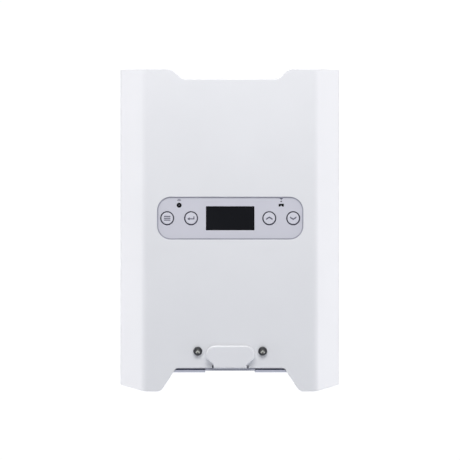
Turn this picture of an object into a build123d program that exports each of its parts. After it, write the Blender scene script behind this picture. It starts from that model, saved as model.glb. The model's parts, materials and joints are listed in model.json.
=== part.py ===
"""Wall battery unit: a small lithium battery in a folded steel case that hangs on a wall rail.

Millimetres. +Z is up, the front faces -Y, and the wall is the plane y = 0. In this file heights (z)
are counted from the feet of the cover, and save() lowers every piece by ORIGIN_HEIGHT, so that the
written parts have their origin at the centre of the wall rail's screw pattern.
"""

import math
import os

from build123d import *

os.makedirs("parts", exist_ok=True)

# ---- driving dimensions --------------------------------------------------------------------------

WIDTH, HEIGHT, DEPTH = 246.0, 361.0, 135.0
ORIGIN_HEIGHT = 262.0  # the wall rail's screw pattern, above the feet
SHEET, TRAY_SHEET = 1.5, 2.0
TRAY_GAP = 0.5  # between cover and tray
SIDE_X, FRONT, COVER_BACK = WIDTH / 2, -DEPTH, -12.0
COVER_INNER = FRONT + SHEET

# cover
CHAMFER = 26.8  # 45 degree band between the front and each side, between sharp corners
FRONT_BEND, SIDE_BEND = 12.0, 6.0
SKIRT_RISE = 31.0  # the lower edge of the sides climbs this much from front to back
RECESS_FLOOR, RECESS_LOW_X, RECESS_HIGH_X = 350.4, 54.3, 66.6
NOTCH_TOP, NOTCH_TOP_X, NOTCH_FOOT_X = 25.9, 60.8, 77.9
FOOT_CORNER, EAR_CORNER, NOTCH_CORNER, RECESS_CORNER = 8.5, 9.0, 1.5, 3.5
RIM_ROUND, CUTOUT_ROUND = 0.5, 0.4  # rounding of the cover's outer edges and of the panel's cutout
LOW_LIP, HIGH_LIP = 6.0, 12.0  # depth of the folded lips
LOW_LIP_X, HIGH_LIP_X = NOTCH_TOP_X - 2.2, RECESS_LOW_X - 2.2
FIXING_X, FIXING_Z = 36.3, 45.2  # the two screws that hold the cover
M5_R, M5_HEAD_R, M5_HEAD_H = 2.45, 5.0, 3.5

# tray
TRAY_BACK = COVER_BACK
TRAY_INNER = TRAY_BACK - TRAY_SHEET
TRAY_SIDE_DEPTH = 58.0
SILL_LOW, SILL_TOP, SILL_BACK = 21.5, 24.1, -100.0  # low strip of floor behind the front edge
FLOOR_LOW, FLOOR_TOP = 46.0, 48.0  # raised floor over the connector bay
ROOF_LOW, ROOF_TOP = 344.0, 346.0
FLAP_BAY_X, FLAP_BAY_DEPTH = 28.0, 12.0  # room in the sill for the port flap's hinge
BRIDGE_FRONT, BRIDGE_X, BRIDGE_TOP = -127.5, 61.0, 62.0  # upright web that takes the cover screws
BRIDGE_BACK = BRIDGE_FRONT + TRAY_SHEET

# control panel
PANEL_Z = 194.1
PANEL_W, PANEL_H, PANEL_CORNER = 163.9, 47.9, 15.3
PANEL_FACE = FRONT + 1.0
PANEL_SEAL_W, PANEL_SEAL_T, PANEL_RIM = 1.3, 0.8, 4.0
PANEL_FLANGE = COVER_INNER + PANEL_SEAL_T
PANEL_BACK = PANEL_FLANGE + 1.5
WINDOW_W, WINDOW_H = 54.2, 26.7
BUTTONS = {"menu_button": -70.6, "enter_button": -43.8, "up_button": 43.8, "down_button": 70.6}
BUTTON_HOLE_R, COLLAR_R, COLLAR_BORE_R, CAP_R = 7.85, 7.75, 6.7, 6.5
CAP_FLANGE, CAP_FLANGE_T, CAP_FLANGE_R = PANEL_BACK + 1.2, 0.8, 7.6
LAMP_X, LAMP_DZ, LAMP_DOT_DZ = 57.2, 14.6, 18.8
BEZEL_R, LIGHT_PIPE_R = 2.7, 0.8
BOARD_T = 1.6
CONTROL_BOARD = -124.4  # front face of the control board
CONTROL_W, CONTROL_H = 160.0, 44.0
SWITCH_H, SWITCH_BORE_R, NOSE_R = 3.6, 1.85, 1.75
SWITCH_TOP = CONTROL_BOARD - SWITCH_H
LIGHTS = ((-LAMP_X, PANEL_Z + LAMP_DZ), (LAMP_X, PANEL_Z + LAMP_DOT_DZ))
DIODE_FRONT = CONTROL_BOARD - 1.2

# service port and its flap
PORT_Z, PORT_W, PORT_H = 38.8, 36.0, 16.0
FLAP_X, FLAP_TOP, FLAP_WIDE_Z = 27.4, 51.5, 37.7
TONGUE_X, TONGUE_Z = 18.5, 29.6
FLAP_CORNERS = (10.5, 6.5, 1.5)  # radii of the outline, from the top down
FLAP_BACK, FLAP_FRONT = FRONT - 0.3, FRONT - 6.0
HINGE_R, HINGE_PIN_R = 1.9, 0.8
HINGE_Y, HINGE_Z = FLAP_FRONT + HINGE_R, 28.0
BRACKET_X, BRACKET_LOW = 27.6, 23.4
EAR_X, EAR_R = (TONGUE_X + 0.25, TONGUE_X + 0.85), 1.2
EAR = ((0.9, 0.8), (3.6, -2.6), (4.5, -2.6), (4.5, -4.2), (2.3, -4.2), (-0.9, -0.8))  # y and z from the pin
PIN_HEAD_R, PIN_HEAD_T = 1.45, 1.0
JACK_X, JACK_LOW, JACK_TOP = 16.0, PORT_Z - 6.5, PORT_Z + 6.5
JACK_FRONT, JACK_BACK = -131.0, -115.0
SOCKET_X, SOCKET_W, SOCKET_H, SOCKET_DEPTH, SOCKET_LOW = 7.7, 12.0, 8.2, 12.0, PORT_Z - 5.2

# battery pack: eight prismatic cells side by side, terminals to the front
CELLS = 8
CELL_T, CELL_W, CELL_L = 26.5, 148.0, 91.0
CELL_GAP = 0.6
PITCH = CELL_T + CELL_GAP
PACK_LOW = 170.0
PACK_HIGH, PACK_Z = PACK_LOW + CELL_W, PACK_LOW + CELL_W / 2
PACK_BACK = TRAY_INNER - 1.0
PACK_FRONT = PACK_BACK - CELL_L
PACK_X = (CELLS * CELL_T + (CELLS - 1) * CELL_GAP) / 2
END_PLATE_T, STRAP_T, STRAP_H = 3.0, 0.8, 12.0
TERMINAL_DZ, TERMINAL_R, TERMINAL_H = 54.0, 8.0, 3.0
LINK_T, LINK_H = 2.0, 18.0
SHIELD_FRONT = -116.6
M6_R, M6_AF, M6_NUT_T = 3.0, 10.0, 3.2
POLE_Z, POLE_SEAT = PACK_Z - TERMINAL_DZ, PACK_FRONT - TERMINAL_H
LUG_T, BARREL_R, CABLE_R = 2.0, 3.6, 3.2

# battery management board and power terminals, under the pack
BMS_X, BMS_Z = (-104.0, 32.0), (62.0, 148.0)
BMS_BACK = TRAY_INNER - 12.0
BMS_FRONT = BMS_BACK - BOARD_T
BOSS_R, BOSS_H = 7.0, 6.0
BOSSES = ((-92.0, 100.0), (18.0, 76.0))  # pack side, load side
BOSS_SEAT = BMS_FRONT - BOSS_H
SIGNAL_X, PORT_SIGNAL_X, RIBBON_W, RIBBON_T = -20.0, 0.0, 18.0, 0.9
HEAT_SINK_X, HEAT_SINK_Z = (-80.0, 6.0), (106.0, 138.0)
BLOCK_FRONT = -36.0
NEGATIVE_STUD, POSITIVE_STUD, FUSE_STUD = (60.0, 58.0), (96.0, 58.0), (96.0, 100.0)

# fittings under the raised floor
FITTING_Y = -62.0
GLAND_X = (35.0, 75.0)
GLAND_AF, GLAND_R, GLAND_BORE_R = 24.0, 10.0, 6.5
GLAND_SEAL_R, GLAND_SEAL_H, GLAND_SEAL_LOW = 5.0, 9.0, FLOOR_LOW - 14.6
EARTH_X = 105.0
STUD_SHANK_R, STUD_FREE, STUD_SHOULDER, STUD_NUT_T = 2.5, 12.0, 0.5, 5.5

# wall mounting
RAIL_X, RAIL_T, RAIL_LOW, RAIL_HIGH = 90.0, 2.5, 237.0, 287.0
RAIL_HOLE_X, RAIL_HOLE_DZ, RAIL_HOLE_R = 70.0, 15.0, 3.5
UPSTAND_Y, UPSTAND_TOP = -8.0, 300.0
RIVET_X, RIVET_Z, RIVET_R = (-75.0, -30.0, 30.0, 75.0), 339.0, 2.0
BUMPER_X, BUMPER_Z, BUMPER_R = 112.0, 62.0, 8.0


# ---- helpers -------------------------------------------------------------------------------------


def save(name, *solids):
    """Writes one node, which holds one or more separate solids."""
    shape = solids[0] if len(solids) == 1 else Compound(list(solids))
    export_step(Pos(0, 0, -ORIGIN_HEIGHT) * shape, f"parts/{name}.step")


def both(value):
    return (-value, value)


def around(middle, half):
    return (middle - half, middle + half)


def block(x, y, z):
    """A box between the two values of each pair."""
    size = [abs(pair[1] - pair[0]) for pair in (x, y, z)]
    middle = [(pair[0] + pair[1]) / 2 for pair in (x, y, z)]
    return Pos(*middle) * Box(*size)


def rod_x(x0, x1, y, z, r):
    return Pos((x0 + x1) / 2, y, z) * Rot(0, 90, 0) * Cylinder(r, abs(x1 - x0))


def rod_y(x, y0, y1, z, r):
    return Pos(x, (y0 + y1) / 2, z) * Rot(90, 0, 0) * Cylinder(r, abs(y1 - y0))


def rod_z(x, y, z0, z1, r):
    return Pos(x, y, (z0 + z1) / 2) * Cylinder(r, abs(z1 - z0))


def front_slab(sketch, front, back):
    """A sketch drawn in x and z, as seen from the front, made solid between two values of y."""
    return extrude(Plane.XZ.offset(-back) * sketch, back - front, dir=(0, -1, 0))


def plan_slab(sketch, low, high):
    """A sketch drawn in x and y, as seen from above, made solid between two heights."""
    return extrude(Pos(0, 0, low) * sketch, high - low, dir=(0, 0, 1))


def side_slab(points, x0, x1):
    """An outline given by points of (y, z), as seen from the side, made solid between two values of x."""
    outline = make_face(Polyline(*[(x0, y, z) for y, z in points], close=True))
    return extrude(outline, x1 - x0, dir=(1, 0, 0))


def polygon(points):
    return make_face(Polyline(*points, close=True))


def rounded(x, z, width, height, radius):
    return Pos(x, z) * RectangleRounded(width, height, radius)


def hexagon(x, z, across_flats):
    return Pos(x, z) * RegularPolygon(across_flats / math.sqrt(3), 6)


def round_corners(face, corner, radius):
    """Rounds the corner of a flat outline at the given point and at its mirror image in x."""
    x, z = corner
    spots = [Vector(x, z), Vector(-x, z)]
    picked = [v for v in face.vertices() for spot in spots if (spot - v.center()).length < 0.01]
    return fillet(picked, radius)


def one_solid(shape):
    """The single solid of a shape that a boolean left wrapped."""
    return shape.solids()[0]


def run_of_arcs(points):
    """Straight runs joined by tangent arcs, each as large as its two runs allow."""
    runs = [Vector(*b) - Vector(*a) for a, b in zip(points, points[1:])]
    radii = []
    for first, second in zip(runs, runs[1:]):
        half_turn = math.radians(first.get_angle(second)) / 2
        radii.append(0.45 * min(first.length, second.length) / math.tan(half_turn))
    return FilletPolyline(*points, radius=radii), Plane(origin=points[0], z_dir=runs[0])


def cable(points):
    path, start = run_of_arcs(points)
    return sweep(start * Circle(CABLE_R), path=path)


def ribbon(x, points):
    """A flat cable that runs through points of (y, z)."""
    path, _ = run_of_arcs([(x, y, z) for y, z in points])
    (y0, z0), (y1, z1) = points[:2]
    start = Plane(origin=(x, y0, z0), x_dir=(1, 0, 0), z_dir=(0, y1 - y0, z1 - z0))
    return sweep(start * Rectangle(RIBBON_W, RIBBON_T), path=path)


# ---- cover ---------------------------------------------------------------------------------------


def case_outline(inset, back):
    """The cover's plan, moved inwards by inset, closed by a straight edge at back."""
    step = inset * math.tan(math.radians(22.5))
    side, front = SIDE_X - inset, FRONT + inset
    front_x, side_y = SIDE_X - CHAMFER - step, FRONT + CHAMFER + step
    right = [(front_x, front), (side, side_y), (side, back)]
    points = [(-x, y) for x, y in reversed(right)] + right
    bends = [SIDE_BEND - inset, FRONT_BEND - inset]
    bent = FilletPolyline(*points, radius=bends + bends[::-1])
    return make_face([*bent.edges(), Line(points[-1], points[0])])


def cover_silhouette():
    """The front view of the cover: two ears above a shallow recess, two feet beside a notch."""
    recess, ear = (RECESS_LOW_X, RECESS_FLOOR), (RECESS_HIGH_X, HEIGHT)
    foot, notch = (NOTCH_FOOT_X, 0), (NOTCH_TOP_X, NOTCH_TOP)
    right = [recess, ear, (SIDE_X, HEIGHT), (SIDE_X, 0), foot, notch]
    face = polygon(right + [(-x, z) for x, z in reversed(right)])
    face = round_corners(face, foot, FOOT_CORNER)
    face = round_corners(face, notch, NOTCH_CORNER)
    face = round_corners(face, ear, EAR_CORNER)
    return round_corners(face, recess, RECESS_CORNER)


def front_cover():
    channel = plan_slab(case_outline(0, COVER_BACK), 0, HEIGHT)
    channel -= plan_slab(case_outline(SHEET, 1), -1, HEIGHT + 1)
    shell = channel & front_slab(cover_silhouette(), FRONT - 1, COVER_BACK + 1)
    under_skirt = [(FRONT, 0), (COVER_BACK, SKIRT_RISE), (COVER_BACK, -1), (FRONT, -1)]
    shell -= side_slab(under_skirt, -SIDE_X, SIDE_X)
    shell = shell + lip(LOW_LIP_X, NOTCH_TOP, 1, LOW_LIP) + lip(HIGH_LIP_X, RECESS_FLOOR, -1, HIGH_LIP)
    shell -= outside_fold(LOW_LIP_X, NOTCH_TOP, 1)
    shell -= outside_fold(HIGH_LIP_X, RECESS_FLOOR, -1)
    through = (FRONT - 1, COVER_INNER + 0.2)
    shell -= front_slab(rounded(0, PANEL_Z, PANEL_W, PANEL_H, PANEL_CORNER), *through)
    shell -= front_slab(rounded(0, PORT_Z, PORT_W, PORT_H, 2), *through)
    for x in both(FIXING_X):
        shell -= rod_y(x, *through, FIXING_Z, M5_R + 0.3)
    return round_front_edges(one_solid(shell))


def round_front_edges(shell):
    """Rounds the edges of the panel's cutout, the feet and the ears, all but the folded lips."""
    front = [e for e in shell.edges() if abs(e.center().Y - FRONT) < 0.01]
    within_x, within_z = PANEL_W / 2 + 1, PANEL_H / 2 + 1
    cutout = [e for e in front if abs(e.center().X) < within_x and abs(e.center().Z - PANEL_Z) < within_z]
    shell = fillet(cutout, CUTOUT_ROUND)
    front = [e for e in shell.edges() if abs(e.center().Y - FRONT) < 0.01]
    rim = [e for e in front if not NOTCH_TOP - 4 < e.center().Z < RECESS_FLOOR + 2]
    return one_solid(fillet(rim, RIM_ROUND))


def lip(half_x, edge, inward, depth):
    """Lip folded back from the front face along a level edge."""
    return block(both(half_x), (FRONT, FRONT + depth), (edge, edge + inward * SHEET))


def outside_fold(half_x, edge, inward):
    """What a bend of one sheet thickness leaves out of the square corner of a lip."""
    corner = block(both(half_x), (FRONT, FRONT + SHEET), (edge, edge + inward * SHEET))
    return corner - rod_x(*both(half_x), FRONT + SHEET, edge + inward * SHEET, SHEET)


# ---- tray ----------------------------------------------------------------------------------------


def notch_edge_x(z):
    """Where the cover's sloping foot edge is at a height."""
    slope = (NOTCH_FOOT_X - NOTCH_TOP_X) / NOTCH_TOP
    return NOTCH_TOP_X + (NOTCH_TOP - z) * slope


def sill_tongue():
    """Right-hand tongue of the sill, which reaches forward into the cover's notch."""
    inner_corner = (FLAP_BAY_X, SILL_LOW)
    outline = polygon(
        [
            inner_corner,
            (notch_edge_x(SILL_LOW) - TRAY_GAP, SILL_LOW),
            (notch_edge_x(SILL_TOP) - TRAY_GAP, SILL_TOP),
            (FLAP_BAY_X, SILL_TOP),
        ]
    )
    return front_slab(round_corners(outline, inner_corner, 1.2), FRONT + 0.4, FRONT + 4)


def rear_tray():
    """Folded tray: back, part-depth sides, roof, low sill with a raised middle, riser and raised floor."""
    inset = SHEET + TRAY_GAP
    x = SIDE_X - inset
    sheet = TRAY_SHEET
    body = block(both(x), (TRAY_INNER, TRAY_BACK), (FLOOR_LOW, ROOF_TOP))
    for side in (-1, 1):
        wall_x = (side * (x - sheet), side * x)
        body += block(wall_x, (TRAY_BACK - TRAY_SIDE_DEPTH, TRAY_BACK), (FLOOR_LOW, ROOF_TOP))
    body += plan_slab(case_outline(inset, TRAY_BACK), ROOF_LOW, ROOF_TOP)
    body += block(both(x), (SILL_BACK - sheet, TRAY_BACK), (FLOOR_LOW, FLOOR_TOP))
    body += block(both(x), (SILL_BACK - sheet, SILL_BACK), (SILL_LOW, FLOOR_TOP))
    body += plan_slab(case_outline(inset, SILL_BACK), SILL_LOW, SILL_TOP)
    body += block(both(BRIDGE_X), (BRIDGE_FRONT, BRIDGE_BACK), (SILL_LOW, BRIDGE_TOP))
    bay_back = FRONT + FLAP_BAY_DEPTH
    body -= block(both(FLAP_BAY_X), (FRONT, bay_back), (SILL_LOW - 1, 29))
    body += block(both(FLAP_BAY_X), (bay_back, SILL_BACK), (BRACKET_LOW, BRACKET_LOW + sheet))
    body -= block(both(FLAP_BAY_X), (bay_back - 1, SILL_BACK + 1), (SILL_LOW - 1, BRACKET_LOW))
    tongue = sill_tongue()
    body = body + tongue + mirror(tongue, Plane.YZ)
    bridge_cut = (BRIDGE_FRONT - 1, BRIDGE_BACK + 1)
    body -= block(both(JACK_X + 1.5), bridge_cut, around(PORT_Z, 8))
    for fixing_x in both(FIXING_X):
        body -= rod_y(fixing_x, *bridge_cut, FIXING_Z, M5_R + 0.3)
    floor_cut = (FLOOR_LOW - 1, FLOOR_TOP + 1)
    for gland_x in GLAND_X:
        body -= rod_z(gland_x, FITTING_Y, *floor_cut, GLAND_R + 0.2)
    body -= rod_z(EARTH_X, FITTING_Y, *floor_cut, STUD_SHANK_R + 0.1)
    back_cut = (TRAY_INNER - 1, TRAY_BACK + 1)
    for bumper_x in both(BUMPER_X):
        body -= rod_y(bumper_x, *back_cut, BUMPER_Z, 3.0)
    for rivet_x in RIVET_X:
        body -= rod_y(rivet_x, *back_cut, RIVET_Z, RIVET_R + 0.05)
    return one_solid(body)


def cover_seals():
    """Rubber strips between the cover's lips and the tray: two over the sill, one over the roof."""
    outline = polygon(
        [
            (FLAP_BAY_X + 0.4, SILL_TOP),
            (notch_edge_x(SILL_TOP) - 0.6, SILL_TOP),
            (NOTCH_TOP_X - 1.6, NOTCH_TOP),
            (FLAP_BAY_X + 0.4, NOTCH_TOP),
        ]
    )
    low = front_slab(outline, FRONT + SHEET, FRONT + LOW_LIP)
    roof_y = (FRONT + 2.4, FRONT + HIGH_LIP - 1)
    high = block(both(RECESS_LOW_X - 4), roof_y, (ROOF_TOP, RECESS_FLOOR - SHEET))
    return low, mirror(low, Plane.YZ), high


def cover_standoff(x):
    """Hexagonal threaded spacer between the cover and the tray's web."""
    body = front_slab(hexagon(x, FIXING_Z, 8), COVER_INNER, BRIDGE_FRONT)
    return one_solid(body - rod_y(x, FRONT, BRIDGE_FRONT + 1, FIXING_Z, M5_R + 0.05))


def cover_screw(x):
    """M5 pan-head screw with a cross recess."""
    head = rod_y(x, FRONT - M5_HEAD_H, FRONT, FIXING_Z, M5_HEAD_R)
    head = fillet(head.edges().sort_by(Axis.Y)[0], 2.3)
    for angle in (45, 135):
        slot = Box(4.6, 4.4, 1.15)
        head -= Pos(x, FRONT - M5_HEAD_H, FIXING_Z) * Rot(0, angle, 0) * slot
    return one_solid(head + rod_y(x, FRONT - 0.5, BRIDGE_BACK + 3, FIXING_Z, M5_R))


# ---- wall mounting -------------------------------------------------------------------------------


def wall_rail():
    """Plate for the wall, with a forward shelf and an upstand that the hanger hooks over."""
    x = both(RAIL_X)
    body = block(x, (-RAIL_T, 0), (RAIL_LOW, RAIL_HIGH))
    body += block(x, (UPSTAND_Y, 0), (RAIL_HIGH - RAIL_T, RAIL_HIGH))
    body += block(x, (UPSTAND_Y, UPSTAND_Y + RAIL_T), (RAIL_HIGH - RAIL_T, UPSTAND_TOP))
    for hole_x in both(RAIL_HOLE_X):
        for dz in both(RAIL_HOLE_DZ):
            body -= rod_y(hole_x, -RAIL_T - 1, 1, ORIGIN_HEIGHT + dz, RAIL_HOLE_R)
    return one_solid(body)


def hanger_rail():
    """Hook riveted to the tray's back: it drops over the wall rail's upstand."""
    x = both(RAIL_X - 2)
    lip = (UPSTAND_Y + RAIL_T + 0.4, -2.6)
    body = block(x, (TRAY_BACK, TRAY_BACK + RAIL_T), (UPSTAND_TOP, 345))
    body += block(x, (TRAY_BACK, lip[1]), (UPSTAND_TOP, UPSTAND_TOP + RAIL_T))
    body += block(x, lip, (UPSTAND_TOP - 11, UPSTAND_TOP + RAIL_T))
    for rivet_x in RIVET_X:
        body -= rod_y(rivet_x, TRAY_BACK - 1, TRAY_BACK + RAIL_T + 1, RIVET_Z, RIVET_R + 0.05)
    return one_solid(body)


def hanger_rivet(x):
    shank = (TRAY_INNER, TRAY_BACK + RAIL_T)
    body = rod_y(x, *shank, RIVET_Z, RIVET_R)
    head = rod_y(x, shank[1], shank[1] + 1.6, RIVET_Z, 3.6)
    head = fillet(head.edges().sort_by(Axis.Y)[-1], 1.2)
    return one_solid(body + head + rod_y(x, shank[0] - 1.2, shank[0], RIVET_Z, 3.4))


def rear_bumper(x):
    """Rubber foot between the tray's back and the wall, held by a barbed stem."""
    foot = rod_y(x, TRAY_BACK, 0, BUMPER_Z, BUMPER_R)
    foot = fillet(foot.edges().sort_by(Axis.Y)[-1], 1.5)
    stem = rod_y(x, TRAY_INNER, TRAY_BACK, BUMPER_Z, 2.9)
    return one_solid(foot + stem + rod_y(x, TRAY_INNER - 2.5, TRAY_INNER, BUMPER_Z, 4))


# ---- control panel -------------------------------------------------------------------------------


def panel_outline(grow):
    return rounded(0, PANEL_Z, PANEL_W + 2 * grow, PANEL_H + 2 * grow, PANEL_CORNER + grow)


def panel_seal():
    """Grey frame gasket: a thin line round the panel and a flat flange behind the cover."""
    body = front_slab(panel_outline(PANEL_RIM), COVER_INNER, PANEL_FLANGE)
    body += front_slab(panel_outline(-0.05), PANEL_FACE - 0.25, PANEL_FLANGE)
    return one_solid(body - front_slab(panel_outline(-PANEL_SEAL_W), FRONT - 1, PANEL_FLANGE + 1))


def warning_window(grow):
    """Outline of the warning lamp: a low block with a notch in the middle of its lower edge."""
    half_w, half_h, notch = 2.8 + grow, 1.45 + grow, 1.2 - grow
    right = [(half_w, half_h), (half_w, -half_h), (notch, -half_h)]
    points = right + [(0, 0.1 - grow)] + [(-x, z) for x, z in reversed(right)]
    return Pos(LAMP_X, PANEL_Z + LAMP_DZ) * polygon(points)


def control_panel():
    """Silver-grey fascia with openings for the window, four buttons and the lamps."""
    body = front_slab(panel_outline(-PANEL_SEAL_W - 0.1), PANEL_FACE, PANEL_FLANGE)
    body += front_slab(panel_outline(PANEL_RIM - 0.5), PANEL_FLANGE, PANEL_BACK)
    through = (FRONT - 1, PANEL_BACK + 1)
    body -= front_slab(rounded(0, PANEL_Z, WINDOW_W + 0.2, WINDOW_H + 0.2, 0.6), *through)
    for x in BUTTONS.values():
        body -= rod_y(x, *through, PANEL_Z, BUTTON_HOLE_R)
    body -= rod_y(-LAMP_X, *through, PANEL_Z + LAMP_DZ, BEZEL_R + 0.1)
    body -= front_slab(warning_window(0.1), *through)
    body -= rod_y(LAMP_X, *through, PANEL_Z + LAMP_DOT_DZ, LIGHT_PIPE_R + 0.1)
    return one_solid(body)


def button_mat(side):
    """Dark silicone pad behind the panel, with a raised collar round each of its two buttons."""
    pair = [x for x in BUTTONS.values() if x * side > 0]
    body = front_slab(rounded(sum(pair) / 2, PANEL_Z, 46, 20, 4), PANEL_BACK, PANEL_BACK + 1)
    for x in pair:
        body += rod_y(x, PANEL_FACE - 0.2, PANEL_BACK + 1, PANEL_Z, COLLAR_R)
        body -= rod_y(x, FRONT - 1, PANEL_BACK + 2, PANEL_Z, COLLAR_BORE_R)
    return one_solid(body)


def button(x):
    """Push cap with a retaining flange behind its mat and a nose that enters the switch."""
    face = rod_y(x, PANEL_FACE - 0.5, CAP_FLANGE, PANEL_Z, CAP_R)
    face = fillet(face.edges().sort_by(Axis.Y)[0], 0.5)
    flange_back = CAP_FLANGE + CAP_FLANGE_T
    flange = rod_y(x, CAP_FLANGE, flange_back, PANEL_Z, CAP_FLANGE_R)
    return one_solid(face + flange + rod_y(x, flange_back, SWITCH_TOP + 1.1, PANEL_Z, NOSE_R))


def key_switch(x):
    """Square tactile switch with a blind bore for the button's nose."""
    body = block(around(x, 3.1), (SWITCH_TOP, CONTROL_BOARD), around(PANEL_Z, 3.1))
    body = fillet(body.edges().filter_by(Axis.Y), 0.5)
    return one_solid(body - rod_y(x, SWITCH_TOP - 1, SWITCH_TOP + 2.2, PANEL_Z, SWITCH_BORE_R))


def display_window():
    plug = front_slab(rounded(0, PANEL_Z, WINDOW_W, WINDOW_H, 0.5), PANEL_FACE + 0.1, PANEL_BACK)
    flange = rounded(0, PANEL_Z, WINDOW_W + 4, WINDOW_H + 4, 1.5)
    return one_solid(plug + front_slab(flange, PANEL_BACK, PANEL_BACK + 1))


def lcd_module():
    """Display module: a frame with a shallow step round its glass."""
    front = PANEL_BACK + 1.3
    body = front_slab(rounded(0, PANEL_Z, 62, 34, 1), front + 0.6, CONTROL_BOARD)
    return one_solid(body + front_slab(rounded(0, PANEL_Z, 56, 28, 0.5), front, front + 1))


def board_fixing_spots(half_x, half_z, middle=(0, 0)):
    return [(middle[0] + sx * half_x, middle[1] + sz * half_z) for sx in (-1, 1) for sz in (-1, 1)]


CONTROL_FIXINGS = board_fixing_spots(76, 17.5, (0, PANEL_Z))
BMS_MIDDLE = (sum(BMS_X) / 2, sum(BMS_Z) / 2)
BMS_FIXINGS = board_fixing_spots(62, 37, BMS_MIDDLE)
PORT_BOARD_FIXINGS = [(-20, PORT_Z + 14), (20, PORT_Z + 14)]


def drilled_board(outline, front, spots):
    body = front_slab(outline, front, front + BOARD_T)
    for x, z in spots:
        body -= rod_y(x, front - 1, front + BOARD_T + 1, z, 1.4)
    return one_solid(body)


def board_spacer(x, z, front, back):
    """Brass spacer between two values of y, bored right through for a screw."""
    return one_solid(rod_y(x, front, back, z, 2.6) - rod_y(x, front - 1, back + 1, z, 1.25))


def board_screw(x, z, seat, away, length=6.0):
    """M2.5 screw whose head stands on the plane y = seat, on the side given by away."""
    body = rod_y(x, seat, seat + away * 1.6, z, 2.4) + rod_y(x, seat, seat - away * length, z, 1.2)
    for width, height in ((3.2, 0.7), (0.7, 3.2)):
        body -= Pos(x, seat + away * 1.6, z) * Box(width, 1.6, height)
    return one_solid(body)


def board_spacers():
    spacers = [board_spacer(x, z, PANEL_BACK, CONTROL_BOARD) for x, z in CONTROL_FIXINGS]
    spacers += [board_spacer(x, z, BMS_BACK, TRAY_INNER) for x, z in BMS_FIXINGS]
    spacers += [board_spacer(x, z, BRIDGE_BACK, JACK_BACK) for x, z in PORT_BOARD_FIXINGS]
    return spacers


def board_screws():
    screws = [board_screw(x, z, CONTROL_BOARD + BOARD_T, 1) for x, z in CONTROL_FIXINGS]
    screws += [board_screw(x, z, BMS_FRONT, -1) for x, z in BMS_FIXINGS]
    screws += [board_screw(x, z, JACK_BACK + BOARD_T, 1) for x, z in PORT_BOARD_FIXINGS]
    return screws


def lamp_bezels():
    """The two dark lamp surrounds: a ring on the left and the warning lamp's block on the right."""
    front, back = PANEL_FACE - 0.1, PANEL_BACK + 0.2
    ring = rod_y(-LAMP_X, front, back, PANEL_Z + LAMP_DZ, BEZEL_R)
    ring -= rod_y(-LAMP_X, front - 1, back + 1, PANEL_Z + LAMP_DZ, LIGHT_PIPE_R + 0.05)
    return one_solid(ring), front_slab(warning_window(0), front, back)


def light_pipe(x, z):
    return rod_y(x, PANEL_FACE - 0.05, DIODE_FRONT, z, LIGHT_PIPE_R)


def lamp_diode(x, z):
    return block(around(x, 1.6), (DIODE_FRONT, CONTROL_BOARD), around(z, 1.0))


# ---- service port --------------------------------------------------------------------------------


def port_flap():
    """Drop-down port cover: a thick plate with a lower end rounded about the hinge pin, and a sealing rim."""
    foot = HINGE_Z - HINGE_R
    right = [(FLAP_X, FLAP_TOP), (FLAP_X, FLAP_WIDE_Z), (TONGUE_X, TONGUE_Z), (TONGUE_X, foot)]
    outline = polygon(right + [(-x, z) for x, z in reversed(right)])
    for corner, radius in zip(right, FLAP_CORNERS):
        outline = round_corners(outline, corner, radius)
    plate = front_slab(outline, FLAP_FRONT, FLAP_BACK)
    plate = fillet([e for e in plate.edges() if abs(e.center().Y - FLAP_FRONT) < 0.01], HINGE_R)
    heel = block(both(FLAP_X), (HINGE_Y, FRONT), (foot - 1, HINGE_Z))
    heel -= rod_x(*both(FLAP_X + 1), HINGE_Y, HINGE_Z, FLAP_BACK - HINGE_Y)
    rim_w, rim_h = PORT_W - 2.6, PORT_H - 2.6
    rim = front_slab(rounded(0, PORT_Z, rim_w, rim_h, 1.5), FLAP_BACK, FRONT + 2)
    rim -= front_slab(rounded(0, PORT_Z, rim_w - 3, rim_h - 3, 0.8), FLAP_BACK, FRONT + 3)
    body = plate - heel + rim
    return one_solid(body - rod_x(*both(FLAP_X), HINGE_Y, HINGE_Z, HINGE_PIN_R + 0.05))


def hinge_bracket():
    """Plate under the cover's lower lip, with a slanting ear beside each end of the flap's tongue."""
    body = block(both(BRACKET_X), (FRONT + 0.2, FRONT + 11), (BRACKET_LOW, NOTCH_TOP))
    ear = side_slab([(HINGE_Y + y, HINGE_Z + z) for y, z in EAR], *EAR_X)
    ear += rod_x(*EAR_X, HINGE_Y, HINGE_Z, EAR_R)
    body = body + ear + mirror(ear, Plane.YZ)
    return one_solid(body - rod_x(*both(BRACKET_X), HINGE_Y, HINGE_Z, HINGE_PIN_R))


def hinge_pin():
    """Pin through the flap's tongue, headed outside both ears."""
    end = EAR_X[1] + PIN_HEAD_T
    pin = rod_x(*both(end), HINGE_Y, HINGE_Z, HINGE_PIN_R)
    for side in (-1, 1):
        pin += rod_x(side * EAR_X[1], side * end, HINGE_Y, HINGE_Z, PIN_HEAD_R)
    return one_solid(pin)


def data_socket():
    """Twin data socket with a latch slot above each cavity."""
    body = block(both(JACK_X), (JACK_FRONT, JACK_BACK), (JACK_LOW, JACK_TOP))
    depth = (JACK_FRONT - 1, JACK_FRONT + SOCKET_DEPTH)
    socket_top = SOCKET_LOW + SOCKET_H
    for x in both(SOCKET_X):
        body -= block(around(x, SOCKET_W / 2), depth, (SOCKET_LOW, socket_top))
        body -= block(around(x, 3), depth, (socket_top - 1, socket_top + 1.8))
    return one_solid(body)


def socket_contacts():
    """Eight gilt contacts along the floor of each cavity."""
    contacts = []
    for x in both(SOCKET_X):
        for i in range(8):
            centre = x + (i - 3.5) * 1.02
            span = (JACK_FRONT + 2, JACK_FRONT + SOCKET_DEPTH - 0.5)
            contacts.append(block(around(centre, 0.25), span, (SOCKET_LOW, SOCKET_LOW + 0.9)))
    return contacts


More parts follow.
